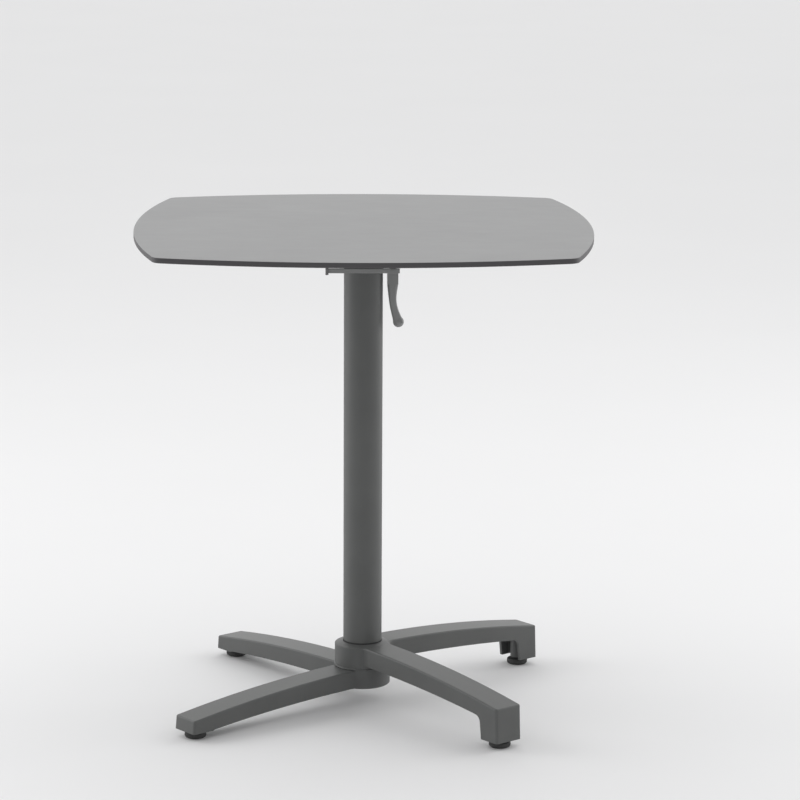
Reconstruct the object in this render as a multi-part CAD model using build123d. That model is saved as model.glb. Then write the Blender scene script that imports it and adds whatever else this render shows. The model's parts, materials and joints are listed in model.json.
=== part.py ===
from build123d import *

import os
from math import acos, cos, radians, sin, sqrt

# Bistro table with a flip top: a rounded square top on a round column and a four-legged base.
# Millimetres, +Z up. The origin is on the floor under the column's axis.
# +X points to the release lever and the two raised legs, +Y to the back.

# ---------------------------------------------------------------- driving dimensions
TABLE_HEIGHT = 750.0
TOP_WIDTH = 700.0
TOP_THICK = 8.0
TOP_SIDE_RADIUS = 1105.0
TOP_CORNER_RADIUS = 20.0
TOP_EDGE_EASE = 1.0

COLUMN_DIAMETER = 60.0
COLUMN_WALL = 2.5

BASE_TURN = -6.4
HUB_RADIUS = 43.2
HUB_BOTTOM = 27.0
LOW_HUB_HEIGHT = 30.0
COLLAR_RIM_HEIGHT = 35.5
COLLAR_CONE_HEIGHT = 3.0
LEG_ANGLE = 45.0
LEG_REACH = 347.0
LEG_END_DRAFT = 2.0
LEG_WIDTH = 49.0
LEG_WALL = 5.0
LEG_DEPTH_ROOT = 29.0
LEG_DEPTH_FOOT = 24.0
LEG_UNDER_SAG = 4.3
LEG_EDGE_RADIUS = 2.5
LEG_END_RADIUS = 4.0
LEG_FLARE_RADIUS = 25.0
LEG_FLARE_SINK = 2.0
LEG_ROOT_SINK = 4.0
LEG_RIB_THICK = 5.0
RAISED_LEG_PROUD = 1.0
RAISED_LEG_ARCH = 2100.0
LOW_LEG_ARCH = 2450.0
FOOT_LENGTH = 36.0
FOOT_HEEL_DRAFT = 4.0
FOOT_CLEARANCE = 12.0
FOOT_BOSS_RADIUS = 11.0
FOOT_HEEL_RADIUS = 12.0

GLIDE_RADIUS = 16.5
GLIDE_HEIGHT = 10.2
GLIDE_SOLE_RADIUS = 12.0
GLIDE_COLLAR_RADIUS = 8.0
GLIDE_SOCKET_FLOOR = 4.5
GLIDE_STUD_DIAMETER = 8.0
GLIDE_STUD_LENGTH = 21.0
GLIDE_FROM_END = 21.0
GLIDE_INSERT_RADIUS = 6.0
GLIDE_INSERT_LENGTH = 14.0

SEAT_RING_THICK = 2.0
SEAT_RING_PROUD = 0.6
REGISTER_RADIUS = 24.0
REGISTER_HEIGHT = 6.0
COLUMN_SPIGOT_HEIGHT = 11.0
COLLAR_BEAD = 1.2

TIE_ROD_DIAMETER = 12.0
TIE_ROD_TAIL = 3.0
TIE_ROD_GRIP = 22.0
TIE_WASHER_RADIUS = 18.0
TIE_WASHER_THICK = 2.5
TIE_NUT_FLATS = 19.0
TIE_NUT_HEIGHT = 10.0
NUT_RECESS_RADIUS = 19.5
NUT_RECESS_DEPTH = 18.0

HUB_SCREW_DIAMETER = 6.0
HUB_SCREW_CIRCLE = 32.0
HUB_SCREW_GRIP = 14.0
HUB_SCREW_HEAD_DEPTH = 14.0
HUB_SCREW_HEAD_RADIUS = 5.0
HUB_SCREW_HEAD_HEIGHT = 6.0
HUB_SCREW_SOCKET_FLATS = 5.0
HUB_SCREW_SOCKET_DEPTH = 3.0

HEAD_SPIGOT_LENGTH = 40.0
HEAD_FLANGE_HEIGHT = 15.5
HEAD_FLOOR = 3.7
HEAD_WIDTH = 64.0
EAR_THICK = 9.0
EAR_TOP_GAP = 3.0

RAIL_HEIGHT = 7.0
RAIL_THICK = 5.0
RAIL_LEFT = 56.0
RAIL_RIGHT = 55.0
BUMPER_LENGTH = 4.6
BUMPER_DROP = 2.6
BUMPER_WALL = 1.3
REST_PAD_LEFT = 12.0
REST_PAD_RIGHT = 8.0
REST_PAD_INSET = 1.5

BRACKET_LENGTH = 130.0
BRACKET_WIDTH = 110.0
BRACKET_THICK = 6.0
BRACKET_CORNER = 12.0
CHEEK_THICK = 6.0
CHEEK_RAIL_HEIGHT = 24.0
BRACKET_SCREW_DIAMETER = 5.0
BRACKET_SCREW_INSET = 13.0
BRACKET_SCREW_HEAD_RADIUS = 4.6
BRACKET_SCREW_HEAD_HEIGHT = 3.0
BRACKET_SCREW_SOCKET_FLATS = 3.0
TOP_INSERT_RADIUS = 4.0
TOP_INSERT_LENGTH = 5.5

TILT_X = -20.0
TILT_PIN_DIAMETER = 10.0
TILT_EYE_RADIUS = 10.5
TILT_BUSH_WALL = 1.6
TILT_PIN_PROUD = 2.0
CLIP_THICK = 1.0
CLIP_RISE = 1.1
CLIP_GROOVE_DEPTH = 0.5
CLIP_GAP = 3.0
STRIKER_X = 53.5
STRIKER_RISE = 1.5
STRIKER_DIAMETER = 8.0
STRIKER_EYE_RADIUS = 8.0

LEVER_X = 45.0
LEVER_PIN_DIAMETER = 5.0
LEVER_EYE_RADIUS = 5.3
LEVER_THICK = 14.0
LEVER_BLOCK_WIDTH = 17.0
LEVER_BLOCK_LENGTH = 20.0
LEVER_BALL_RADIUS = 8.4
LEVER_BALL_OFFSET = 9.0
LEVER_LENGTH = 85.0
HOOK_THICK = 6.0
HOOK_ARM_LEFT = 4.6
HOOK_ARM_RIGHT = 2.0

SPACER_WALL = 1.4
SPRING_WIRE = 1.0
SPRING_TURNS = 5.5
SPRING_LEG_LENGTH = 13.0

# clearances
RUNNING = 0.05
SLIP = 0.15
FACE_GAP = 0.3
STOP_GAP = 0.2
HOOK_GAP = 0.4
CLIP_TO_RAIL = 1.4
CHEEK_TO_EAR = 1.0
BLOCK_TO_RAIL = 2.0
COIL_GAP = 0.15
SPRING_TO_SPACER = 0.35
CUT = 1.0

# ---------------------------------------------------------------- places worked out from them
COLUMN_RADIUS = COLUMN_DIAMETER / 2
TUBE_BORE = COLUMN_RADIUS - COLUMN_WALL
UNDERSIDE = TABLE_HEIGHT - TOP_THICK
PLATE_BOTTOM = UNDERSIDE - BRACKET_THICK
SEAM = HUB_BOTTOM + LOW_HUB_HEIGHT
COLLAR_RIM = SEAM + COLLAR_RIM_HEIGHT
COLLAR_TOP = COLLAR_RIM + COLLAR_CONE_HEIGHT
TUBE_BOTTOM = COLLAR_TOP + SEAT_RING_THICK
RAISED_LEG_TOP = COLLAR_RIM + RAISED_LEG_PROUD
HUB_SCREW_SEAT = HUB_BOTTOM + HUB_SCREW_HEAD_DEPTH
HUB_SCREW_TIP = SEAM + HUB_SCREW_GRIP

HALF_HEAD = HEAD_WIDTH / 2
EAR_INNER = HALF_HEAD - EAR_THICK
EAR_TOP = PLATE_BOTTOM - EAR_TOP_GAP
RAIL_OUTER = HALF_HEAD + RAIL_THICK
BUMPER_FACE = RAIL_LEFT + BUMPER_LENGTH / 2

# At 90 degrees the bracket plate comes to rest on the two bumpers, so the pin's height follows.
TILT_Z = PLATE_BOTTOM - (TILT_X + BUMPER_FACE + STOP_GAP)
STRIKER_Z = TILT_Z + STRIKER_RISE
CLIP_RADIUS = TILT_PIN_DIAMETER / 2 + CLIP_RISE
CLIP_GROOVE = HALF_HEAD + 0.4
TILT_BUSH_RADIUS = TILT_PIN_DIAMETER / 2 + TILT_BUSH_WALL

# The rails pass just under the pin's retaining rings, and the head's flange carries them.
RAIL_TOP = TILT_Z - CLIP_RADIUS - CLIP_TO_RAIL
RAIL_BOTTOM = RAIL_TOP - RAIL_HEIGHT
RAIL_MIDDLE = RAIL_BOTTOM + RAIL_HEIGHT / 2
HEAD_FLANGE_TOP = RAIL_BOTTOM
TUBE_TOP = HEAD_FLANGE_TOP - HEAD_FLANGE_HEIGHT

CHEEK_OUTER = EAR_INNER - CHEEK_TO_EAR
CHEEK_INNER = CHEEK_OUTER - CHEEK_THICK
HALF_LEVER = LEVER_THICK / 2
BLOCK_TOP = RAIL_BOTTOM - BLOCK_TO_RAIL
BLOCK_BOTTOM = BLOCK_TOP - LEVER_BLOCK_LENGTH
LEVER_BALL_X = LEVER_X + LEVER_BALL_OFFSET
LEVER_BALL_Z = RAIL_MIDDLE - LEVER_LENGTH
HOOK_NOSE_BOTTOM = STRIKER_Z + STRIKER_DIAMETER / 2 + FACE_GAP
HOOK_TOP = STRIKER_Z + STRIKER_DIAMETER / 2 + HOOK_THICK
SPACER_RADIUS = LEVER_PIN_DIAMETER / 2 + SPACER_WALL
SPRING_COIL_RADIUS = SPACER_RADIUS + SPRING_TO_SPACER + SPRING_WIRE / 2
SPRING_PITCH = SPRING_WIRE + COIL_GAP

GLIDE_REACH = LEG_REACH - GLIDE_FROM_END
LEG_CHANNEL_START = HUB_RADIUS + 6.0

LOW_LEG_ANGLES = [180 - LEG_ANGLE, 180 + LEG_ANGLE]
RAISED_LEG_ANGLES = [LEG_ANGLE, -LEG_ANGLE]

os.makedirs("parts", exist_ok=True)


# ---------------------------------------------------------------- helpers
def save(shape, node):
    export_step(shape, f"parts/{node}.step")


def cylinder_z(radius, z_low, z_high, x=0.0, y=0.0):
    """Upright cylinder between two heights."""
    height = z_high - z_low
    return Pos(x, y, z_low + height / 2) * Cylinder(radius, height)


def cylinder_y(radius, y_low, y_high, x, z):
    """Cylinder along Y between two places."""
    length = y_high - y_low
    return Pos(x, y_low + length / 2, z) * Rot(90, 0, 0) * Cylinder(radius, length)


def block(x_low, x_high, y_low, y_high, z_low, z_high):
    """Box given by its six faces."""
    size = (x_high - x_low, y_high - y_low, z_high - z_low)
    middle = ((x_low + x_high) / 2, (y_low + y_high) / 2, (z_low + z_high) / 2)
    return Pos(*middle) * Box(*size)


def turned(points):
    """Solid of revolution about Z from a closed outline of (radius, height) points."""
    outline = make_face(Plane.XZ * Polyline(*points, close=True))
    return revolve(outline, Axis.Z, 360)


def about_z(shape, angle):
    return Rot(0, 0, angle) * shape


def polar(radius, angle):
    return radius * cos(radians(angle)), radius * sin(radians(angle))


def arch_drop(radius, reach):
    """Fall of a leg's arched top at a distance from the column's axis."""
    return radius - sqrt(radius * radius - reach * reach)


def hex_prism(flats, z_low, z_high):
    outline = RegularPolygon(flats / 2, 6, major_radius=False)
    return Pos(0, 0, z_low) * extrude(outline, z_high - z_low)


# ---------------------------------------------------------------- base castings
def leg_outline(top_root, arch, end, foot_bottom):
    """Side view of one leg along +X, from the column's axis to its end face."""
    heel_foot = end - FOOT_LENGTH
    heel_top = heel_foot - FOOT_HEEL_DRAFT
    under_root = top_root - LEG_DEPTH_ROOT
    under_heel = top_root - arch_drop(arch, heel_top) - LEG_DEPTH_FOOT
    under_middle = (under_root + under_heel) / 2 + LEG_UNDER_SAG
    end_top = end - LEG_END_DRAFT
    top_end = top_root - arch_drop(arch, end_top)
    top_middle = top_root - arch_drop(arch, end / 2)
    edges = [
        ThreePointArc((0, top_root), (end / 2, top_middle), (end_top, top_end)),
        Line((end_top, top_end), (end, foot_bottom)),
        Line((end, foot_bottom), (heel_foot, foot_bottom)),
        Line((heel_foot, foot_bottom), (heel_top, under_heel)),
        ThreePointArc((heel_top, under_heel), (heel_top / 2, under_middle), (0, under_root)),
        Line((0, under_root), (0, top_root)),
    ]
    return edges, (heel_top, under_heel)


def leg_plan():
    """Leg from above: straight sides that flare in a hollow arc and run just into the hub."""
    half = LEG_WIDTH / 2
    root_radius = HUB_RADIUS - LEG_FLARE_SINK
    to_centre = root_radius + LEG_FLARE_RADIUS
    centre_y = half + LEG_FLARE_RADIUS
    centre_x = sqrt(to_centre**2 - centre_y**2)
    hub_x = root_radius * centre_x / to_centre
    hub_y = root_radius * centre_y / to_centre
    half_turn = acos(centre_y / to_centre) / 2
    middle_x = centre_x - LEG_FLARE_RADIUS * sin(half_turn)
    middle_y = centre_y - LEG_FLARE_RADIUS * cos(half_turn)
    inside = hub_x / 2
    beyond = LEG_REACH + CUT
    edges = [Line((inside, -hub_y), (inside, hub_y)), Line((beyond, -half), (beyond, half))]
    for side in (-1, 1):
        edges.append(Line((inside, side * hub_y), (hub_x, side * hub_y)))
        edges.append(ThreePointArc((hub_x, side * hub_y), (middle_x, side * middle_y), (centre_x, side * half)))
        edges.append(Line((centre_x, side * half), (beyond, side * half)))
    return make_face(edges)


def leg(top_root, arch):
    """Inverted channel: arched top web, two side walls, end wall and a boss for the glide."""
    edges, heel = leg_outline(top_root, arch, LEG_REACH, FOOT_CLEARANCE)
    side_view = make_face(edges)
    heel_corner = side_view.vertices().sort_by_distance((heel[0], heel[1], 0))[0]
    heel_radius = min(FOOT_HEEL_RADIUS, (heel[1] - FOOT_CLEARANCE) / 2)
    side_view = fillet(heel_corner, heel_radius)
    solid = extrude(Plane.XZ * side_view, LEG_WIDTH, both=True) & extrude(leg_plan(), top_root + CUT)
    end_faces = solid.faces().sort_by(Axis.X)[-1]
    end_edges = [edge for edge in end_faces.edges() if edge.bounding_box().size.Z > CUT]
    solid = fillet(end_edges, LEG_END_RADIUS)
    top_face = solid.faces().sort_by(Axis.Z)[-1]
    root_x = solid.bounding_box().min.X + CUT
    rim = [edge for edge in top_face.edges() if edge.center().X > root_x]
    solid = fillet(rim, LEG_EDGE_RADIUS)

    inner_end = LEG_REACH - LEG_END_DRAFT - LEG_WALL
    web_root = top_root - LEG_WALL
    hollow_edges = [
        ThreePointArc(
            (LEG_CHANNEL_START, web_root - arch_drop(arch, LEG_CHANNEL_START)),
            (inner_end / 2, web_root - arch_drop(arch, inner_end / 2)),
            (inner_end, web_root - arch_drop(arch, inner_end)),
        ),
        Line((inner_end, web_root - arch_drop(arch, inner_end)), (inner_end, 0)),
        Line((inner_end, 0), (LEG_CHANNEL_START, 0)),
        Line((LEG_CHANNEL_START, 0), (LEG_CHANNEL_START, web_root - arch_drop(arch, LEG_CHANNEL_START))),
    ]
    hollow = extrude(Plane.XZ * make_face(hollow_edges), LEG_WIDTH / 2 - LEG_WALL, both=True)
    solid = solid - hollow

    boss_top = web_root - arch_drop(arch, GLIDE_REACH) + 1.0
    rib_bottom = FOOT_CLEARANCE + 3.0
    half_rib = LEG_RIB_THICK / 2
    inner_half = LEG_WIDTH / 2 - LEG_WALL + 0.5
    boss = cylinder_z(FOOT_BOSS_RADIUS, FOOT_CLEARANCE, boss_top, GLIDE_REACH)
    end_rib = block(GLIDE_REACH, inner_end + 1.0, -half_rib, half_rib, rib_bottom, boss_top - 1.5)
    cross_rib = block(GLIDE_REACH - half_rib, GLIDE_REACH + half_rib, -inner_half, inner_half, rib_bottom, boss_top - 1.0)
    solid = solid + boss + end_rib + cross_rib
    insert_top = FOOT_CLEARANCE + GLIDE_INSERT_LENGTH
    bore = cylinder_z(GLIDE_INSERT_RADIUS, FOOT_CLEARANCE - 1.0, insert_top, GLIDE_REACH)
    relief = cylinder_z(GLIDE_STUD_DIAMETER / 2 + 0.5, insert_top - 1.0, insert_top + 1.5, GLIDE_REACH)
    return solid - bore - relief


def hub_screw_holes(radius, z_low, z_high):
    holes = []
    for angle in (0, 90, 180, 270):
        x, y = polar(HUB_SCREW_CIRCLE, angle)
        holes.append(cylinder_z(radius, z_low, z_high, x, y))
    return holes


def low_leg_casting():
    """Lower hub ring with the two low legs; a short spigot registers the casting above."""
    one_leg = leg(SEAM, LOW_LEG_ARCH) - cylinder_z(HUB_RADIUS - LEG_ROOT_SINK, 0, SEAM + CUT)
    hub = turned([
        (0, HUB_BOTTOM),
        (HUB_RADIUS - 2.0, HUB_BOTTOM),
        (HUB_RADIUS, HUB_BOTTOM + 2.0),
        (HUB_RADIUS, SEAM),
        (REGISTER_RADIUS, SEAM),
        (REGISTER_RADIUS, SEAM + REGISTER_HEIGHT),
        (0, SEAM + REGISTER_HEIGHT),
    ])
    casting = hub
    for angle in LOW_LEG_ANGLES:
        casting = casting + about_z(one_leg, angle)
    casting = casting - cylinder_z(NUT_RECESS_RADIUS, 0, HUB_BOTTOM + NUT_RECESS_DEPTH)
    casting = casting - cylinder_z(TIE_ROD_DIAMETER / 2 + SLIP, HUB_BOTTOM, SEAM + REGISTER_HEIGHT + 1.0)
    casting = casting - hub_screw_holes(HUB_SCREW_DIAMETER / 2 + SLIP, HUB_BOTTOM, SEAM + 1.0)
    casting = casting - hub_screw_holes(HUB_SCREW_HEAD_RADIUS + SLIP, 0, HUB_SCREW_SEAT)
    return about_z(casting, BASE_TURN)


def raised_leg_casting():
    """Upper hub ring with the two raised legs, a bead round its foot and a conical collar."""
    one_leg = leg(RAISED_LEG_TOP, RAISED_LEG_ARCH)
    one_leg = one_leg - cylinder_z(HUB_RADIUS - LEG_ROOT_SINK, 0, RAISED_LEG_TOP + CUT)
    bead = COLLAR_BEAD
    spigot_radius = TUBE_BORE - SLIP
    hub = turned([
        (0, SEAM),
        (HUB_RADIUS, SEAM),
        (HUB_RADIUS + 0.7 * bead, SEAM + 0.3 * bead),
        (HUB_RADIUS + bead, SEAM + bead),
        (HUB_RADIUS + 0.7 * bead, SEAM + 1.7 * bead),
        (HUB_RADIUS, SEAM + 2.0 * bead),
        (HUB_RADIUS, COLLAR_RIM - 1.0),
        (HUB_RADIUS - 1.0, COLLAR_RIM),
        (COLUMN_RADIUS + 1.5, COLLAR_TOP),
        (spigot_radius, COLLAR_TOP),
        (spigot_radius, COLLAR_TOP + COLUMN_SPIGOT_HEIGHT),
        (0, COLLAR_TOP + COLUMN_SPIGOT_HEIGHT),
    ])
    casting = hub
    for angle in RAISED_LEG_ANGLES:
        casting = casting + about_z(one_leg, angle)
    casting = casting - cylinder_z(REGISTER_RADIUS + SLIP, SEAM - 1.0, SEAM + REGISTER_HEIGHT + 0.5)
    casting = casting - cylinder_z(TIE_ROD_DIAMETER / 2 + SLIP, SEAM, COLLAR_TOP + COLUMN_SPIGOT_HEIGHT + 1.0)
    casting = casting - hub_screw_holes(HUB_SCREW_DIAMETER / 2, SEAM - 1.0, HUB_SCREW_TIP + 1.0)
    return about_z(casting, BASE_TURN)


def hub_screws():
    """Four socket-head screws that join the two castings from below."""
    screws = []
    head_bottom = HUB_SCREW_SEAT - HUB_SCREW_HEAD_HEIGHT
    for angle in (0, 90, 180, 270):
        x, y = polar(HUB_SCREW_CIRCLE, angle + BASE_TURN)
        screw = cylinder_z(HUB_SCREW_DIAMETER / 2, HUB_SCREW_SEAT, HUB_SCREW_TIP)
        screw = screw + cylinder_z(HUB_SCREW_HEAD_RADIUS, head_bottom, HUB_SCREW_SEAT)
        socket_top = head_bottom + HUB_SCREW_SOCKET_DEPTH
        screw = screw - hex_prism(HUB_SCREW_SOCKET_FLATS, head_bottom - CUT, socket_top)
        screws.append(Pos(x, y, 0) * screw)
    return Compound(children=screws)


def glide_insert():
    x = GLIDE_REACH
    top = FOOT_CLEARANCE + GLIDE_INSERT_LENGTH
    insert = cylinder_z(GLIDE_INSERT_RADIUS, FOOT_CLEARANCE, top, x)
    return insert - cylinder_z(GLIDE_STUD_DIAMETER / 2 + RUNNING, FOOT_CLEARANCE - 1.0, top + 1.0, x)


def glide_inserts():
    angles = LOW_LEG_ANGLES + RAISED_LEG_ANGLES
    return Compound(children=[about_z(glide_insert(), angle + BASE_TURN) for angle in angles])


# ---------------------------------------------------------------- glides
def glide_foot(x, y):
    """Round moulded foot with a rounded sole and a shallow collar round its stud."""
    sole = GLIDE_SOLE_RADIUS
    round_over = GLIDE_RADIUS - sole
    outline = [
        Line((0, 0), (sole, 0)),
        ThreePointArc((sole, 0), (sole + 0.707 * round_over, 0.293 * round_over), (GLIDE_RADIUS, round_over)),
        Line((GLIDE_RADIUS, round_over), (GLIDE_RADIUS - 0.3, GLIDE_HEIGHT - 2.5)),
        Line((GLIDE_RADIUS - 0.3, GLIDE_HEIGHT - 2.5), (GLIDE_RADIUS - 1.8, GLIDE_HEIGHT - 1.0)),
        Line((GLIDE_RADIUS - 1.8, GLIDE_HEIGHT - 1.0), (GLIDE_COLLAR_RADIUS, GLIDE_HEIGHT - 1.0)),
        Line((GLIDE_COLLAR_RADIUS, GLIDE_HEIGHT - 1.0), (GLIDE_COLLAR_RADIUS - 1.0, GLIDE_HEIGHT)),
        Line((GLIDE_COLLAR_RADIUS - 1.0, GLIDE_HEIGHT), (0, GLIDE_HEIGHT)),
        Line((0, GLIDE_HEIGHT), (0, 0)),
    ]
    foot = revolve(Plane.XZ * make_face(outline), Axis.Z, 360)
    foot = foot - cylinder_z(GLIDE_STUD_DIAMETER / 2, GLIDE_SOCKET_FLOOR, GLIDE_HEIGHT + 1.0)
    return Pos(x, y, 0) * foot


def glide_stud(x, y):
    radius = GLIDE_STUD_DIAMETER / 2
    top = GLIDE_SOCKET_FLOOR + GLIDE_STUD_LENGTH
    stud = turned([
        (0, GLIDE_SOCKET_FLOOR),
        (radius, GLIDE_SOCKET_FLOOR),
        (radius, top - 1.0),
        (radius - 1.0, top),
        (0, top),
    ])
    return Pos(x, y, 0) * stud


# ---------------------------------------------------------------- column and tie rod
def column_seat_ring():
    ring = cylinder_z(COLUMN_RADIUS + SEAT_RING_PROUD, COLLAR_TOP, TUBE_BOTTOM)
    return ring - cylinder_z(TUBE_BORE, COLLAR_TOP - 1.0, TUBE_BOTTOM + 1.0)


def column_tube():
    tube = cylinder_z(COLUMN_RADIUS, TUBE_BOTTOM, TUBE_TOP)
    return tube - cylinder_z(TUBE_BORE, TUBE_BOTTOM - 1.0, TUBE_TOP + 1.0)


def tie_rod():
    """Threaded rod from the nut under the hub up into the column head."""
    radius = TIE_ROD_DIAMETER / 2
    low = HUB_BOTTOM + NUT_RECESS_DEPTH - TIE_WASHER_THICK - TIE_NUT_HEIGHT - TIE_ROD_TAIL
    high = TUBE_TOP - HEAD_SPIGOT_LENGTH + TIE_ROD_GRIP
    rod = turned([(0, low), (radius - 1, low), (radius, low + 1), (radius, high - 1), (radius - 1, high), (0, high)])
    return rod


def tie_rod_washer():
    high = HUB_BOTTOM + NUT_RECESS_DEPTH
    washer = cylinder_z(TIE_WASHER_RADIUS, high - TIE_WASHER_THICK, high)
    return washer - cylinder_z(TIE_ROD_DIAMETER / 2 + SLIP, high - TIE_WASHER_THICK - 1, high + 1)


def tie_rod_nut():
    high = HUB_BOTTOM + NUT_RECESS_DEPTH - TIE_WASHER_THICK
    nut = hex_prism(TIE_NUT_FLATS, high - TIE_NUT_HEIGHT, high)
    return nut - cylinder_z(TIE_ROD_DIAMETER / 2, high - TIE_NUT_HEIGHT - 1, high + 1)


# ---------------------------------------------------------------- column head and rails
def column_head():
    """Casting with a spigot in the tube, a round flange and two ears for the tilt pin."""
    spigot_radius = TUBE_BORE - SLIP
    spigot_bottom = TUBE_TOP - HEAD_SPIGOT_LENGTH
    floor_top = HEAD_FLANGE_TOP + HEAD_FLOOR
    head = turned([
        (0, spigot_bottom),
        (spigot_radius - 1.5, spigot_bottom),
        (spigot_radius, spigot_bottom + 3.0),
        (spigot_radius, TUBE_TOP),
        (COLUMN_RADIUS, TUBE_TOP),
        (COLUMN_RADIUS, HEAD_FLANGE_TOP),
        (0, HEAD_FLANGE_TOP),
    ])
    head = head + block(-COLUMN_RADIUS, COLUMN_RADIUS, -HALF_HEAD, HALF_HEAD, HEAD_FLANGE_TOP, floor_top)
    for side in (-1, 1):
        near, far = sorted((side * EAR_INNER, side * HALF_HEAD))
        ear = block(-COLUMN_RADIUS, COLUMN_RADIUS, near, far, floor_top - 1.0, EAR_TOP)
        top_corners = ear.edges().filter_by(Axis.Y).group_by(Axis.Z)[-1]
        head = head + fillet(top_corners, 6.0)
    head = head - cylinder_y(TILT_PIN_DIAMETER / 2, -HALF_HEAD - 1, HALF_HEAD + 1, TILT_X, TILT_Z)
    head = head - cylinder_z(TIE_ROD_DIAMETER / 2, spigot_bottom - 1.0, spigot_bottom + TIE_ROD_GRIP + 2.0)
    return head


def side_rail(side):
    """Flat bar on the head's side: bumper at its left end, lever pin at its right end."""
    near, far = sorted((side * HALF_HEAD, side * RAIL_OUTER))
    rail = block(-RAIL_LEFT, RAIL_RIGHT, near, far, RAIL_BOTTOM, RAIL_TOP)
    rail = fillet(rail.edges().filter_by(Axis.X), 0.8)
    return rail - cylinder_y(LEVER_PIN_DIAMETER / 2, near - 1, far + 1, LEVER_X, RAIL_MIDDLE)


def stop_bumper(side):
    """Rubber cap on a rail's left end, where the tipped top comes to rest."""
    near, far = sorted((side * (HALF_HEAD - BUMPER_WALL), side * (RAIL_OUTER + BUMPER_WALL)))
    cap = block(-BUMPER_FACE, BUMPER_LENGTH - BUMPER_FACE, near, far, RAIL_BOTTOM - BUMPER_DROP, RAIL_TOP + 0.4)
    cap = fillet(cap.edges().filter_by(Axis.X), 0.8)
    pocket_near, pocket_far = sorted((side * HALF_HEAD, side * RAIL_OUTER))
    return cap - block(-RAIL_LEFT, 0, pocket_near, pocket_far, RAIL_BOTTOM, RAIL_TOP)


def tilt_pin():
    """Fixed pin through both ears, with a groove near each end for its retaining ring."""
    end = HALF_HEAD + TILT_PIN_PROUD
    radius = TILT_PIN_DIAMETER / 2
    pin = cylinder_y(radius, -end, end, TILT_X, TILT_Z)
    for side in (-1, 1):
        low, high = sorted((side * CLIP_GROOVE, side * (CLIP_GROOVE + CLIP_THICK)))
        ring = cylinder_y(radius + CUT, low, high, TILT_X, TILT_Z)
        pin = pin - (ring - cylinder_y(radius - CLIP_GROOVE_DEPTH, low - CUT, high + CUT, TILT_X, TILT_Z))
    return pin


def tilt_pin_clips():
    """Two retaining rings in the pin's grooves, each with the gap it is opened at."""
    clips = []
    half_gap = CLIP_GAP / 2
    for side in (-1, 1):
        low, high = sorted((side * CLIP_GROOVE, side * (CLIP_GROOVE + CLIP_THICK)))
        clip = cylinder_y(CLIP_RADIUS, low, high, TILT_X, TILT_Z)
        clip = clip - cylinder_y(TILT_PIN_DIAMETER / 2 - CLIP_GROOVE_DEPTH, low - CUT, high + CUT, TILT_X, TILT_Z)
        gap = block(TILT_X - half_gap, TILT_X + half_gap, low - CUT, high + CUT, TILT_Z, TILT_Z + CLIP_RADIUS + CUT)
        clips.append(clip - gap)
    return Compound(children=clips)


def rest_pads():
    """Rubber pads on the ears that carry the level top."""
    pads = []
    for side in (-1, 1):
        near, far = sorted((side * (EAR_INNER + REST_PAD_INSET), side * (HALF_HEAD - REST_PAD_INSET)))
        left = TILT_X + REST_PAD_LEFT
        right = COLUMN_RADIUS - REST_PAD_RIGHT
        pads.append(block(left, right, near, far, EAR_TOP, PLATE_BOTTOM - STOP_GAP))
    return Compound(children=pads)


# ---------------------------------------------------------------- top and its bracket
def top_outline(ease=0.0):
    """Square with four bowed sides; each side is one arc through its own middle."""
    half = TOP_WIDTH / 2
    centre = TOP_SIDE_RADIUS - half
    corner = (sqrt(2 * TOP_SIDE_RADIUS**2 - centre**2) - centre) / 2
    corners = [(corner, -corner), (corner, corner), (-corner, corner), (-corner, -corner)]
    middles = [(half, 0), (0, half), (-half, 0), (0, -half)]
    arcs = []
    for index in range(4):
        arcs.append(ThreePointArc(corners[index], middles[index], corners[(index + 1) % 4]))
    outline = make_face(arcs)
    return fillet(outline.vertices(), TOP_CORNER_RADIUS)


def bracket_screw_places():
    x = BRACKET_LENGTH / 2 - BRACKET_SCREW_INSET
    y = BRACKET_WIDTH / 2 - BRACKET_SCREW_INSET
    return [(place, side) for place in (-x, 0, x) for side in (-y, y)]


def table_top():
    top = Pos(0, 0, UNDERSIDE) * extrude(top_outline(), TOP_THICK)
    rims = top.faces().sort_by(Axis.Z)[0].edges() + top.faces().sort_by(Axis.Z)[-1].edges()
    top = fillet(rims, TOP_EDGE_EASE)
    for x, y in bracket_screw_places():
        top = top - cylinder_z(TOP_INSERT_RADIUS, UNDERSIDE - 1.0, UNDERSIDE + TOP_INSERT_LENGTH, x, y)
    return top


def top_inserts():
    inserts = []
    for x, y in bracket_screw_places():
        insert = cylinder_z(TOP_INSERT_RADIUS, UNDERSIDE, UNDERSIDE + TOP_INSERT_LENGTH, x, y)
        bore = cylinder_z(BRACKET_SCREW_DIAMETER / 2, UNDERSIDE - 1, UNDERSIDE + TOP_INSERT_LENGTH + 1, x, y)
        inserts.append(insert - bore)
    return Compound(children=inserts)


def bracket_screws():
    """Six button-head screws that hold the bracket to the top."""
    screws = []
    radius = BRACKET_SCREW_DIAMETER / 2
    head_bottom = PLATE_BOTTOM - BRACKET_SCREW_HEAD_HEIGHT
    crown = 1.2
    tip = UNDERSIDE + TOP_INSERT_LENGTH - 0.5
    for x, y in bracket_screw_places():
        screw = turned([
            (0, head_bottom),
            (BRACKET_SCREW_HEAD_RADIUS - crown, head_bottom),
            (BRACKET_SCREW_HEAD_RADIUS, head_bottom + crown),
            (BRACKET_SCREW_HEAD_RADIUS, PLATE_BOTTOM),
            (radius, PLATE_BOTTOM),
            (radius, tip),
            (0, tip),
        ])
        socket_top = head_bottom + 0.6 * BRACKET_SCREW_HEAD_HEIGHT
        screw = screw - hex_prism(BRACKET_SCREW_SOCKET_FLATS, head_bottom - CUT, socket_top)
        screws.append(Pos(x, y, 0) * screw)
    return Compound(children=screws)


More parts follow.
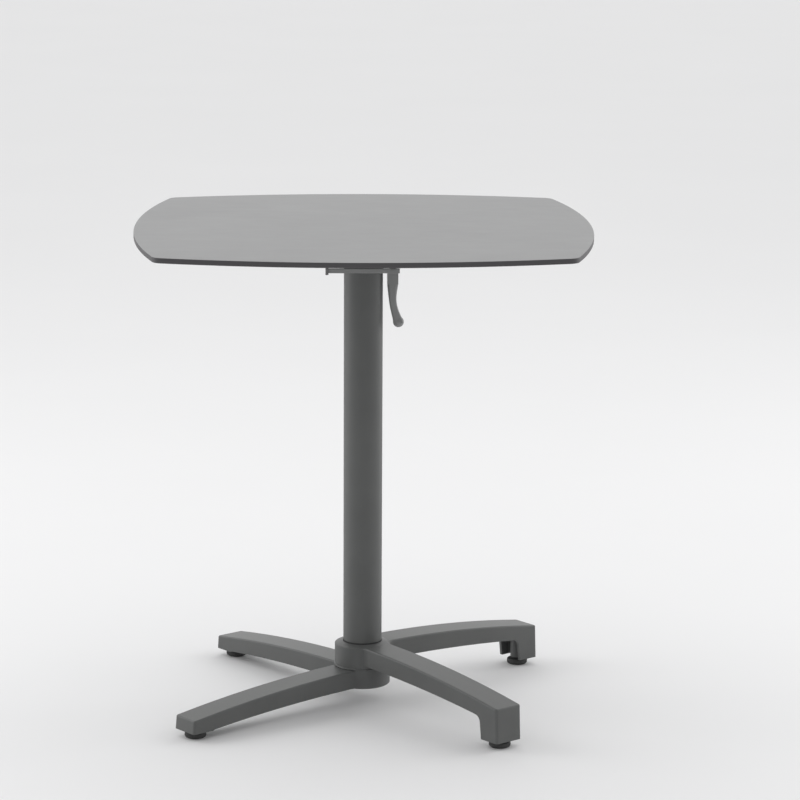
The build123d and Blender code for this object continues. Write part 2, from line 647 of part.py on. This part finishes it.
def top_bracket():
    """Plate under the top with two cheeks: eyes for the tilt bushes and for the striker pin."""
    plate = extrude(Rectangle(BRACKET_LENGTH, BRACKET_WIDTH), BRACKET_THICK)
    plate = fillet(plate.edges().filter_by(Axis.Z), BRACKET_CORNER)
    bracket = Pos(0, 0, PLATE_BOTTOM) * plate
    for x, y in bracket_screw_places():
        bracket = bracket - cylinder_z(BRACKET_SCREW_DIAMETER / 2 + SLIP, PLATE_BOTTOM - 1, UNDERSIDE + 1, x, y)
    web_bottom = PLATE_BOTTOM - CHEEK_RAIL_HEIGHT
    left = TILT_X - TILT_EYE_RADIUS
    right = STRIKER_X + STRIKER_EYE_RADIUS
    for side in (-1, 1):
        near, far = sorted((side * CHEEK_INNER, side * CHEEK_OUTER))
        cheek = cylinder_y(TILT_EYE_RADIUS, near, far, TILT_X, TILT_Z)
        cheek = cheek + block(left, TILT_X + TILT_EYE_RADIUS, near, far, TILT_Z, PLATE_BOTTOM)
        cheek = cheek + cylinder_y(STRIKER_EYE_RADIUS, near, far, STRIKER_X, STRIKER_Z)
        cheek = cheek + block(STRIKER_X - STRIKER_EYE_RADIUS, right, near, far, STRIKER_Z, PLATE_BOTTOM)
        cheek = cheek + block(left, right, near, far, web_bottom, PLATE_BOTTOM)
        cheek = cheek - cylinder_y(TILT_BUSH_RADIUS, near - 1, far + 1, TILT_X, TILT_Z)
        cheek = cheek - cylinder_y(STRIKER_DIAMETER / 2, near - 1, far + 1, STRIKER_X, STRIKER_Z)
        bracket = bracket + cheek
    return bracket


def tilt_bushes():
    """Plain bearings pressed into the cheeks, running on the tilt pin."""
    bushes = []
    for side in (-1, 1):
        near, far = sorted((side * CHEEK_INNER, side * CHEEK_OUTER))
        bush = cylinder_y(TILT_BUSH_RADIUS, near, far, TILT_X, TILT_Z)
        bush = bush - cylinder_y(TILT_PIN_DIAMETER / 2 + RUNNING, near - 1, far + 1, TILT_X, TILT_Z)
        bushes.append(bush)
    return Compound(children=bushes)


def striker_pin():
    return cylinder_y(STRIKER_DIAMETER / 2, -CHEEK_OUTER, CHEEK_OUTER, STRIKER_X, STRIKER_Z)


# ---------------------------------------------------------------- release lever
def hook_nose_reach():
    """Furthest right the hook may stand beside the striker pin's arc about the tilt pin."""
    inner = STRIKER_X - TILT_X - STRIKER_DIAMETER / 2
    rise = HOOK_TOP - TILT_Z
    return TILT_X + sqrt(inner * inner - rise * rise) - HOOK_GAP


def release_lever():
    """Hook above the pin, a block below it and a curved handle that ends in a ball."""
    nose = hook_nose_reach()
    arm_left = LEVER_X - HOOK_ARM_LEFT
    arm_right = LEVER_X + HOOK_ARM_RIGHT
    back_bevel = 2.5
    nose_bevel = 2.0
    hook = make_face(Polyline(
        (arm_left, RAIL_MIDDLE),
        (arm_left, HOOK_TOP - back_bevel),
        (arm_left + back_bevel, HOOK_TOP),
        (nose - nose_bevel, HOOK_TOP),
        (nose, HOOK_NOSE_BOTTOM + nose_bevel / 2),
        (nose, HOOK_NOSE_BOTTOM),
        (arm_right, HOOK_NOSE_BOTTOM),
        (arm_right, RAIL_MIDDLE),
        close=True,
    ))
    lever = extrude(Plane.XZ * hook, HALF_LEVER, both=True)
    lever = lever + cylinder_y(LEVER_EYE_RADIUS, -HALF_LEVER, HALF_LEVER, LEVER_X, RAIL_MIDDLE)
    neck_half = LEVER_EYE_RADIUS - 0.3
    lever = lever + block(LEVER_X - neck_half, LEVER_X + neck_half, -HALF_LEVER, HALF_LEVER, BLOCK_TOP - 1, RAIL_MIDDLE)

    half_block = LEVER_BLOCK_WIDTH / 2
    body = block(LEVER_X - half_block, LEVER_X + half_block, -HALF_LEVER, HALF_LEVER, BLOCK_BOTTOM, BLOCK_TOP)
    body = fillet(body.edges().filter_by(Axis.Y).group_by(Axis.Z)[-1], 2.0)
    lever = lever + body

    # (centre x, height, width along X, thickness along Y) down the handle
    stations = [
        (LEVER_X, BLOCK_BOTTOM + 0.5, LEVER_BLOCK_WIDTH, LEVER_THICK),
        (LEVER_X - 0.3, BLOCK_BOTTOM - 9.0, 14.8, LEVER_THICK),
        (LEVER_X - 0.3, BLOCK_BOTTOM - 20.0, 12.3, 13.4),
        (LEVER_X + 1.3, BLOCK_BOTTOM - 34.0, 11.5, 13.0),
        (LEVER_X + 5.2, BLOCK_BOTTOM - 48.0, 13.2, 13.6),
        (LEVER_BALL_X, LEVER_BALL_Z, 1.96 * LEVER_BALL_RADIUS, 1.96 * LEVER_BALL_RADIUS),
    ]
    sections = []
    for x, z, width, thick in stations:
        corner = min(width, thick) * 0.32
        sections.append(Pos(x, 0, z) * RectangleRounded(width, thick, corner))
    lever = lever + loft(sections)
    lever = lever + Pos(LEVER_BALL_X, 0, LEVER_BALL_Z) * Sphere(LEVER_BALL_RADIUS)
    return lever - cylinder_y(LEVER_PIN_DIAMETER / 2 + RUNNING, -20, 20, LEVER_X, RAIL_MIDDLE)


def lever_pin():
    end = RAIL_OUTER + 0.8
    return cylinder_y(LEVER_PIN_DIAMETER / 2, -end, end, LEVER_X, RAIL_MIDDLE)


def lever_spacers():
    """Two tubes on the lever pin that keep the lever in the middle."""
    spacers = []
    for side in (-1, 1):
        near, far = sorted((side * (HALF_LEVER + FACE_GAP), side * HALF_HEAD))
        tube = cylinder_y(SPACER_RADIUS, near, far, LEVER_X, RAIL_MIDDLE)
        spacers.append(tube - cylinder_y(LEVER_PIN_DIAMETER / 2, near - 1, far + 1, LEVER_X, RAIL_MIDDLE))
    return Compound(children=spacers)


def lever_spring():
    """Torsion spring round the rear spacer: a coil with a straight leg at each end."""
    height = SPRING_PITCH * SPRING_TURNS
    start_y = HALF_LEVER + FACE_GAP + SPRING_WIRE
    helix = Helix(SPRING_PITCH, height, SPRING_COIL_RADIUS)
    wire = Circle(SPRING_WIRE / 2)
    spring = sweep(Plane(helix @ 0, z_dir=helix % 0) * wire, path=helix, is_frenet=True)
    spring = spring + extrude(Plane(helix @ 0, z_dir=-(helix % 0)) * wire, SPRING_LEG_LENGTH)
    spring = spring + extrude(Plane(helix @ 1, z_dir=helix % 1) * wire, SPRING_LEG_LENGTH)
    return Pos(LEVER_X, start_y + height, RAIL_MIDDLE) * Rot(90, 0, 0) * spring


# ---------------------------------------------------------------- write every sub-part
save(low_leg_casting(), "low_leg_casting")
save(raised_leg_casting(), "raised_leg_casting")
save(hub_screws(), "hub_screws")
save(glide_inserts(), "glide_inserts")
save(column_seat_ring(), "column_seat_ring")
save(column_tube(), "column_tube")
save(tie_rod(), "tie_rod")
save(tie_rod_washer(), "tie_rod_washer")
save(tie_rod_nut(), "tie_rod_nut")
save(column_head(), "column_head")
save(tilt_pin(), "tilt_pin")
save(tilt_pin_clips(), "tilt_pin_clips")
save(rest_pads(), "rest_pads")
for rail_name, rail_side in (("front", -1), ("rear", 1)):
    save(side_rail(rail_side), f"{rail_name}_rail")
    save(stop_bumper(rail_side), f"{rail_name}_stop_bumper")
save(table_top(), "table_top")
save(top_inserts(), "top_inserts")
save(top_bracket(), "top_bracket")
save(bracket_screws(), "bracket_screws")
save(tilt_bushes(), "tilt_bushes")
save(striker_pin(), "striker_pin")
save(release_lever(), "release_lever")
save(lever_pin(), "lever_pin")
save(lever_spacers(), "lever_spacers")
save(lever_spring(), "lever_spring")

GLIDES = {
    "back_left": LOW_LEG_ANGLES[0],
    "front_left": LOW_LEG_ANGLES[1],
    "back_right": RAISED_LEG_ANGLES[0],
    "front_right": RAISED_LEG_ANGLES[1],
}
for glide_name, glide_angle in GLIDES.items():
    glide_x, glide_y = polar(GLIDE_REACH, glide_angle + BASE_TURN)
    save(glide_foot(glide_x, glide_y), f"glide_foot_{glide_name}")
    save(glide_stud(glide_x, glide_y), f"glide_stud_{glide_name}")
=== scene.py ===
import json
import math

import bpy
import numpy as np
from mathutils import Matrix, Vector


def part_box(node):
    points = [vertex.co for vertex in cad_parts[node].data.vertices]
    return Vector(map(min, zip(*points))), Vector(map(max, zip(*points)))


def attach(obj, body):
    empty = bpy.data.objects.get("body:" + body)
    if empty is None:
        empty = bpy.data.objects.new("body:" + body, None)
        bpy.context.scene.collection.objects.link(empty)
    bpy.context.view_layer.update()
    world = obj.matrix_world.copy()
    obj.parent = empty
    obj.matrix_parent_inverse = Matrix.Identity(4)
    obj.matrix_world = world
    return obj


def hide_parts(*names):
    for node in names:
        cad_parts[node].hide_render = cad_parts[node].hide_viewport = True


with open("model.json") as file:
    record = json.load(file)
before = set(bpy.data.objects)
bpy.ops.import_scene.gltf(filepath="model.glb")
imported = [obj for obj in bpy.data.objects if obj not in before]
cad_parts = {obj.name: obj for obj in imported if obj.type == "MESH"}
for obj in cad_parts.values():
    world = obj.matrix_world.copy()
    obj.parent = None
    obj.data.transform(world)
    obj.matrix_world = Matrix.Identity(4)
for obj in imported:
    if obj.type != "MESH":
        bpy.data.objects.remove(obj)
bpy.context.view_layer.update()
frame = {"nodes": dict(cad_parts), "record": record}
nodes = frame["nodes"]

# Bistro table with a flip top. Metres, +Z up; the origin is on the floor under the column's axis,
# +X points to the release lever and the raised legs, +Y to the back.

MM = 0.001
TOP_LOW, TOP_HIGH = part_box("table_top")
GLIDE_SIDES = ("back_left", "front_left", "back_right", "front_right")

DECOR_THICK = 0.35 * MM
DECOR_BLUR = 0.04 * MM

FOOT_ROUND_OVER = 4.2 * MM
FOOT_SOLE_RING = 3.0 * MM
FOOT_WALL_DRAFT = 0.3 * MM
FOOT_SHOULDER_DROP = 2.6 * MM
FOOT_WALL_START = 2.6 * MM
FOOT_COLLAR_HEIGHT = 1.0 * MM
FOOT_COLLAR_RADIUS = 8.2 * MM
FOOT_COLLAR_TOP_RADIUS = 7.0 * MM
SOCKET_CHAMFER = 0.3 * MM
FLUTES = 40
FLUTE_DEPTH = 0.55 * MM
FLUTED_BAND = 1.5 * MM
FOOT_COLUMNS = 240
FOOT_STEP = 0.45 * MM

THREAD_PITCH = 1.25 * MM
THREAD_DEPTH = 0.62 * MM
STUD_CHAMFER = 1.0 * MM
THREAD_RUN_OUT = 1.5 * MM
STUD_COLUMNS = 48
ROWS_PER_TURN = 10

CAMERA_LENS = 156.08
CAMERA_PLACE = (-0.0668, -5.2518, 1.5460)
CAMERA_TURN = math.radians(1.351)
CAMERA_PITCH = math.radians(11.484)
CAMERA_ROLL = math.radians(0.285)
FLOOR_HALF = 40.0
WORLD_FADE = {"From Min": -0.9, "From Max": 0.7, "To Min": 0.56, "To Max": 1.24}


# ---------------------------------------------------------------- shader maths
class Value:
    """One output socket of a finish; + - and * on it add Math nodes."""

    def __init__(self, finish, socket):
        self.finish = finish
        self.socket = socket

    def math(self, operation, *others):
        inputs = dict(enumerate((self,) + others))
        return self.finish.node("ShaderNodeMath", {"operation": operation}, inputs)

    def __add__(self, other):
        return self.math("ADD", other)

    def __sub__(self, other):
        return self.math("SUBTRACT", other)

    def __mul__(self, other):
        return self.math("MULTIPLY", other)

    def __rsub__(self, other):
        return self.finish.node("ShaderNodeMath", {"operation": "SUBTRACT"}, {0: other, 1: self})

    __radd__ = __add__
    __rmul__ = __mul__

    def stretched(self, low, high, to_low=0.0, to_high=1.0):
        """Maps low..high to to_low..to_high, clamped at both ends."""
        sockets = {"Value": self, "From Min": low, "From Max": high, "To Min": to_low, "To Max": to_high}
        return self.finish.node("ShaderNodeMapRange", {"clamp": True}, sockets)


class Finish:
    """A material and the short calls that fill its node tree."""

    def __init__(self, name):
        self.material = bpy.data.materials.new(name)
        self.material.use_nodes = True
        self.tree = self.material.node_tree
        self.shader = self.tree.nodes["Principled BSDF"]

    def node(self, kind, settings, inputs, output=0):
        """Adds a node: settings first, then each input's value or link; gives one output."""
        node = self.tree.nodes.new(kind)
        for name, value in settings.items():
            setattr(node, name, value)
        for name, value in inputs.items():
            self.feed(node.inputs[name], value)
        return Value(self, node.outputs[output])

    def feed(self, socket, value):
        """Links a value, or sets a constant; a colour of three parts gets an alpha of 1."""
        if isinstance(value, Value):
            self.tree.links.new(value.socket, socket)
        elif isinstance(value, tuple) and len(value) == 3 and socket.type == "RGBA":
            socket.default_value = (*value, 1.0)
        else:
            socket.default_value = value

    def place(self):
        """Object coordinates."""
        return self.node("ShaderNodeTexCoord", {}, {}, "Object")

    def axis(self, vector, name):
        """One component of a vector."""
        return self.node("ShaderNodeSeparateXYZ", {}, {0: vector}, name)

    def noise(self, vector, scale, detail=2.0, roughness=0.5):
        inputs = {"Vector": vector, "Scale": scale, "Detail": detail, "Roughness": roughness}
        return self.node("ShaderNodeTexNoise", {}, inputs, "Fac")

    def cells(self, vector, scale):
        return self.node("ShaderNodeTexVoronoi", {}, {"Vector": vector, "Scale": scale}, "Distance")

    def scaled(self, vector, factors):
        """A vector times another, part by part."""
        return self.node("ShaderNodeVectorMath", {"operation": "MULTIPLY"}, {0: vector, 1: factors})

    def mix(self, factor, first, second):
        """Colour mix, first where the factor is 0."""
        settings = {"data_type": "RGBA"}
        return self.node("ShaderNodeMix", settings, {0: factor, 6: first, 7: second}, 2)

    def bump(self, height, distance, strength=1.0):
        inputs = {"Height": height, "Distance": distance, "Strength": strength}
        return self.node("ShaderNodeBump", {}, inputs, "Normal")

    def set(self, **inputs):
        """Feeds the shader's sockets; words in a name are joined by underscores."""
        for name, value in inputs.items():
            self.feed(self.shader.inputs[name.replace("_", " ")], value)
        return self.material


# ---------------------------------------------------------------- finishes
def powder_coat(name, dark, light, shine=0.47):
    """Fine-textured polyester powder: shallow orange peel, a grain of fused powder, faint cloudiness."""
    finish = Finish(name)
    place = finish.place()
    cloud = finish.noise(place, 14.0, 3.0)
    peel = finish.noise(place, 520.0, 2.0)
    grain = finish.noise(place, 2100.0, 1.0)
    tone = (cloud * 0.55 + grain * 0.45).stretched(0.32, 0.68)
    rough = shine + (peel - 0.5) * 0.10 + (cloud - 0.5) * 0.08
    height = peel * 0.7 + grain * 0.3
    return finish.set(
        Base_Color=finish.mix(tone, dark, light),
        Roughness=rough,
        Normal=finish.bump(height, 0.00006, 0.55),
        IOR=1.5,
    )


def laminate():
    """Compact laminate: printed cloudy decor on both faces, a solid dark core at the edge; the faces'
    colour is set lighter than the edge core as a painted sheen for the bright reflection on the top.
    """
    finish = Finish("grey_laminate")
    place = finish.place()
    height = finish.axis(place, "Z")
    over = (height - (TOP_HIGH.z - DECOR_THICK)).stretched(-DECOR_BLUR, DECOR_BLUR)
    under = (height - (TOP_LOW.z + DECOR_THICK)).stretched(-DECOR_BLUR, DECOR_BLUR)
    # Mask of the top and bottom faces, which get the print colour with its painted sheen
    painted_sheen_face = over + (1.0 - under)
    broad = finish.noise(place, 5.5, 4.0, 0.62)
    drift = finish.noise(finish.scaled(place, (1.0, 2.6, 1.0)), 19.0, 5.0, 0.66)
    cloud = (broad * 0.6 + drift * 0.4).stretched(0.30, 0.70)
    speck = finish.noise(place, 900.0, 2.0)
    # Face colour: random cloudy tone and specks, raised overall above the edge core as a painted sheen
    # for the reflection on the top
    print_and_sheen_colour = finish.mix(cloud, (0.138, 0.139, 0.141), (0.170, 0.171, 0.173))
    print_and_sheen_colour = finish.mix(speck.stretched(0.35, 0.7, 0.0, 0.25), print_and_sheen_colour, (0.20, 0.20, 0.205))
    layers = finish.noise(finish.scaled(place, (6.0, 6.0, 900.0)), 1.0, 2.0)
    core = finish.mix(layers, (0.040, 0.038, 0.041), (0.062, 0.059, 0.063))
    rough = 0.40 + (drift - 0.5) * 0.10 + (1.0 - painted_sheen_face) * 0.12
    pebble = finish.noise(place, 700.0, 3.0)
    return finish.set(
        Base_Color=finish.mix(painted_sheen_face, core, print_and_sheen_colour),
        Roughness=rough,
        Normal=finish.bump(pebble, 0.00004, 0.45),
        IOR=1.52,
    )


def plated_steel(name, colour, rough):
    """Zinc-plated or ground steel: fine drawn lines and a mottled plating."""
    finish = Finish(name)
    place = finish.place()
    lines = finish.noise(finish.scaled(place, (4000.0, 4000.0, 300.0)), 1.0, 2.0)
    mottle = finish.noise(place, 160.0, 3.0)
    darker = tuple(0.72 * part for part in colour)
    return finish.set(
        Base_Color=finish.mix(mottle.stretched(0.3, 0.7), darker, colour),
        Roughness=rough + (lines - 0.5) * 0.16,
        Normal=finish.bump(lines, 0.00002, 0.5),
        Metallic=1.0,
    )


def moulded(name, dark, light, rough, grain_scale):
    """Moulded rubber or nylon: spark-eroded grain and slight dulling."""
    finish = Finish(name)
    place = finish.place()
    grain = finish.cells(place, grain_scale)
    wear = finish.noise(place, 60.0, 4.0, 0.6)
    return finish.set(
        Base_Color=finish.mix(wear.stretched(0.35, 0.7), dark, light),
        Roughness=rough + (wear - 0.5) * 0.2,
        Normal=finish.bump(grain, 0.00005, 0.5),
    )


ANTHRACITE = powder_coat("anthracite_powder", (0.083, 0.086, 0.084), (0.105, 0.108, 0.106))
MECHANISM_COAT = powder_coat("mechanism_powder", (0.205, 0.208, 0.206), (0.245, 0.248, 0.246), 0.42)
LAMINATE = laminate()
ZINC = plated_steel("zinc_plate", (0.62, 0.63, 0.65), 0.34)
GROUND_STEEL = plated_steel("ground_steel", (0.60, 0.60, 0.60), 0.24)
SPRING_STEEL = plated_steel("spring_steel", (0.30, 0.30, 0.32), 0.36)
BRASS = plated_steel("brass", (0.72, 0.55, 0.28), 0.32)
RUBBER = moulded("black_rubber", (0.018, 0.018, 0.019), (0.034, 0.034, 0.034), 0.72, 1400.0)
GLIDE_NYLON = moulded("glide_nylon", (0.024, 0.025, 0.024), (0.045, 0.046, 0.045), 0.55, 1700.0)
GREY_RUBBER = moulded("grey_rubber", (0.15, 0.15, 0.15), (0.20, 0.20, 0.20), 0.68, 1400.0)
BUSH_NYLON = moulded("bush_nylon", (0.055, 0.056, 0.055), (0.085, 0.086, 0.085), 0.48, 1500.0)

SLOT_FINISH = {
    "powder_coat": ANTHRACITE,
    "mechanism_coat": MECHANISM_COAT,
    "grey_laminate": LAMINATE,
    "zinc_steel": ZINC,
    "bright_steel": GROUND_STEEL,
    "spring_steel": SPRING_STEEL,
    "brass_insert": BRASS,
    "black_rubber": RUBBER,
    "grey_rubber": GREY_RUBBER,
    "glide_plastic": GLIDE_NYLON,
    "bush_plastic": BUSH_NYLON,
}


def dress_frame():
    """Gives every CAD node the finish of its record slot."""
    for subpart in frame["record"]["subparts"]:
        mesh = nodes[subpart["node"]].data
        mesh.materials.clear()
        mesh.materials.append(SLOT_FINISH[subpart["material_slot"]])


# ---------------------------------------------------------------- turned surfaces
def middle(name):
    """Centre of a CAD node's box."""
    low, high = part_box(name)
    return (low + high) / 2


def turned_piece(name, radius, height, centre, finish):
    """Closed surface round an upright axis from two arrays, rows up the profile by columns round it.

    Row i, column j is the point (radius cos a, radius sin a, height), with a the column's angle.
    The first and the last row have radius 0: each becomes one vertex, so both poles are closed.
    """
    rows, columns = radius.shape
    angle = np.linspace(0.0, 2.0 * np.pi, columns, endpoint=False)
    ring = np.stack((radius * np.cos(angle), radius * np.sin(angle), height), axis=-1)[1:-1]
    points = np.vstack((ring.reshape(-1, 3), [[0, 0, height[0, 0]]], [[0, 0, height[-1, 0]]]))
    points = points + np.array((centre.x, centre.y, 0.0))
    index = np.arange((rows - 2) * columns).reshape(rows - 2, columns)
    after = np.roll(index, -1, axis=1)
    quads = np.stack((index[:-1], after[:-1], after[1:], index[1:]), axis=-1).reshape(-1, 4)
    low_pole, high_pole = len(points) - 2, len(points) - 1
    low_fan = np.stack((after[0], index[0], np.full(columns, low_pole)), axis=-1)
    high_fan = np.stack((index[-1], after[-1], np.full(columns, high_pole)), axis=-1)
    mesh = bpy.data.meshes.new(name)
    mesh.from_pydata(points.tolist(), [], quads.tolist() + low_fan.tolist() + high_fan.tolist())
    mesh.materials.append(finish)
    piece = bpy.data.objects.new(name, mesh)
    bpy.context.scene.collection.objects.link(piece)
    return piece


def dense(profile, step):
    """Points along a polyline profile of (radius, height), no further apart than step."""
    profile = np.array(profile)
    lengths = np.hypot(*np.diff(profile, axis=0).T)
    along = np.concatenate(([0.0], np.cumsum(lengths)))
    parts = [
        np.linspace(start, end, max(1, math.ceil((end - start) / step)), endpoint=False)
        for start, end in zip(along[:-1], along[1:])
    ]
    places = np.concatenate(parts + [along[-1:]])
    return np.interp(places, along, profile[:, 0]), np.interp(places, along, profile[:, 1])


def glide_foot(side):
    """Moulded foot: sole, fluted grip wall, chamfered shoulder, small collar and the stud's socket.

    The wall's radius is reduced by a depth times half of 1 - cos(flutes x angle), and that depth
    rises and falls as a sine between the wall's lower and upper ends.
    """
    name = "glide_foot_" + side
    low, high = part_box(name)
    rim = (high.x - low.x) / 2
    top = high.z
    stud_low, stud_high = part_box("glide_stud_" + side)
    socket = (stud_high.x - stud_low.x) / 2
    corner = np.linspace(-np.pi / 2, 0.0, 9)
    bend = FOOT_ROUND_OVER
    sole = [(rim - bend * (1 - math.cos(a)), bend * (1 + math.sin(a))) for a in corner]
    shoulder = top - FOOT_COLLAR_HEIGHT
    profile = [(0.0, 0.0), (rim - bend - FOOT_SOLE_RING, 0.0)] + sole + [
        (rim - FOOT_WALL_DRAFT, top - FOOT_SHOULDER_DROP),
        (rim - 0.7 * MM, top - 1.9 * MM),
        (rim - 1.8 * MM, shoulder - 0.05 * MM),
        (rim - 2.4 * MM, shoulder),
        (FOOT_COLLAR_RADIUS, shoulder),
        (7.6 * MM, top - 0.8 * MM),
        (FOOT_COLLAR_TOP_RADIUS, top),
        (socket + SOCKET_CHAMFER, top),
        (socket, top - SOCKET_CHAMFER),
        (socket, stud_low.z),
        (0.0, stud_low.z),
    ]
    radius, height = dense(profile, FOOT_STEP)
    angle = np.linspace(0.0, 2.0 * np.pi, FOOT_COLUMNS, endpoint=False)
    wall_end = top - FOOT_SHOULDER_DROP
    share = np.clip((height - FOOT_WALL_START) / (wall_end - FOOT_WALL_START), 0.0, 1.0)
    depth = np.where(radius > rim - FLUTED_BAND, FLUTE_DEPTH * np.sin(np.pi * share), 0.0)
    wave = 0.5 * (1.0 - np.cos(FLUTES * angle))
    spread = radius[:, None] - depth[:, None] * wave[None, :]
    tall = np.repeat(height[:, None], FOOT_COLUMNS, axis=1)
    spread[0] = spread[-1] = 0.0
    piece = turned_piece("turned_foot_" + side, spread, tall, middle(name), GLIDE_NYLON)
    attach(piece, "glide_" + side)
    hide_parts(name)


def glide_stud(side):
    """Threaded stud with a chamfered tip and a plain shank inside the foot.

    The radius falls by the thread's depth in a triangle wave of height / pitch - angle / full turn.
    """
    name = "glide_stud_" + side
    low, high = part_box(name)
    outer = (high.x - low.x) / 2
    foot_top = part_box("glide_foot_" + side)[1].z
    rows = round((high.z - low.z) / THREAD_PITCH * ROWS_PER_TURN)
    level = np.linspace(low.z, high.z, rows)
    turn = np.arange(STUD_COLUMNS) / STUD_COLUMNS
    phase = (level[:, None] / THREAD_PITCH - turn[None, :]) % 1.0
    thread = THREAD_DEPTH * np.abs(2.0 * phase - 1.0)
    chamfer = np.clip(STUD_CHAMFER - (high.z - level), 0.0, None)[:, None]
    plain = np.clip((foot_top - level) / THREAD_RUN_OUT, 0.0, 1.0)[:, None]
    radius = np.minimum(outer - thread * (1.0 - plain), outer - chamfer)
    tall = np.repeat(level[:, None], STUD_COLUMNS, axis=1)
    pole = np.zeros((1, STUD_COLUMNS))
    radius = np.vstack((pole, radius, pole))
    tall = np.vstack((tall[:1], tall, tall[-1:]))
    piece = turned_piece("threaded_stud_" + side, radius, tall, middle(name), ZINC)
    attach(piece, "glide_" + side)
    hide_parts(name)


# ---------------------------------------------------------------- camera, floor and light
def add_camera():
    """Long lens at standing height in front of the table, almost square to the top."""
    camera = bpy.data.objects.new("camera", bpy.data.cameras.new("camera"))
    bpy.context.scene.collection.objects.link(camera)
    camera.data.sensor_width = 36.0
    camera.data.lens = CAMERA_LENS
    camera.data.clip_end = 200.0
    upright = Matrix.Rotation(math.pi / 2 - CAMERA_PITCH, 4, "X")
    heading = Matrix.Rotation(-CAMERA_TURN, 4, "Z") @ upright
    place = Matrix.Translation(Vector(CAMERA_PLACE))
    camera.matrix_world = place @ heading @ Matrix.Rotation(CAMERA_ROLL, 4, "Z")
    bpy.context.scene.camera = camera


def add_floor():
    """Plain pale studio floor, large enough to fill every view."""
    half = FLOOR_HALF
    corners = [(-half, -half, 0), (half, -half, 0), (half, half, 0), (-half, half, 0)]
    mesh = bpy.data.meshes.new("floor")
    mesh.from_pydata(corners, [], [(0, 1, 2, 3)])
    floor = bpy.data.objects.new("floor", mesh)
    bpy.context.scene.collection.objects.link(floor)
    finish = Finish("pale_floor")
    tone = finish.noise(finish.place(), 1.5, 3.0)
    mesh.materials.append(finish.set(
        Base_Color=finish.mix(tone, (0.80, 0.80, 0.805), (0.82, 0.82, 0.825)),
        Roughness=0.75,
        Specular_IOR_Level=0.2,
    ))


def add_area(name, place, target, size, watts):
    """Rectangular soft box at a place, turned to face a target."""
    light = bpy.data.lights.new(name, "AREA")
    light.shape = "RECTANGLE"
    light.size, light.size_y = size
    light.energy = watts
    lamp = bpy.data.objects.new(name, light)
    bpy.context.scene.collection.objects.link(lamp)
    lamp.location = place
    lamp.rotation_euler = (Vector(target) - Vector(place)).to_track_quat("-Z", "Y").to_euler()


def add_light():
    """Pale surroundings, dimmer in front and brighter behind, and large soft boxes."""
    world = bpy.data.worlds.new("studio")
    bpy.context.scene.world = world
    world.use_nodes = True
    nodes_of_world = world.node_tree.nodes
    background = nodes_of_world["Background"]
    background.inputs["Color"].default_value = (1.0, 1.0, 1.0, 1.0)
    direction = nodes_of_world.new("ShaderNodeTexCoord")
    split = nodes_of_world.new("ShaderNodeSeparateXYZ")
    level = nodes_of_world.new("ShaderNodeMapRange")
    for socket, value in WORLD_FADE.items():
        level.inputs[socket].default_value = value
    links = world.node_tree.links
    links.new(direction.outputs["Generated"], split.inputs[0])
    links.new(split.outputs["Y"], level.inputs["Value"])
    links.new(level.outputs[0], background.inputs["Strength"])
    add_area("overhead", (-0.4, 1.2, 3.6), (0, 0, 0.4), (3.2, 3.2), 7.0)
    add_area("left_box", (-3.4, 0.6, 1.4), (0, 0, 0.5), (1.6, 2.6), 30.0)
    add_area("right_box", (3.4, 1.2, 1.4), (0, 0, 0.5), (1.6, 2.6), 26.0)


bpy.context.scene.view_settings.view_transform = "Standard"
add_camera()
add_floor()
add_light()
dress_frame()
for glide_side in GLIDE_SIDES:
    glide_foot(glide_side)
    glide_stud(glide_side)
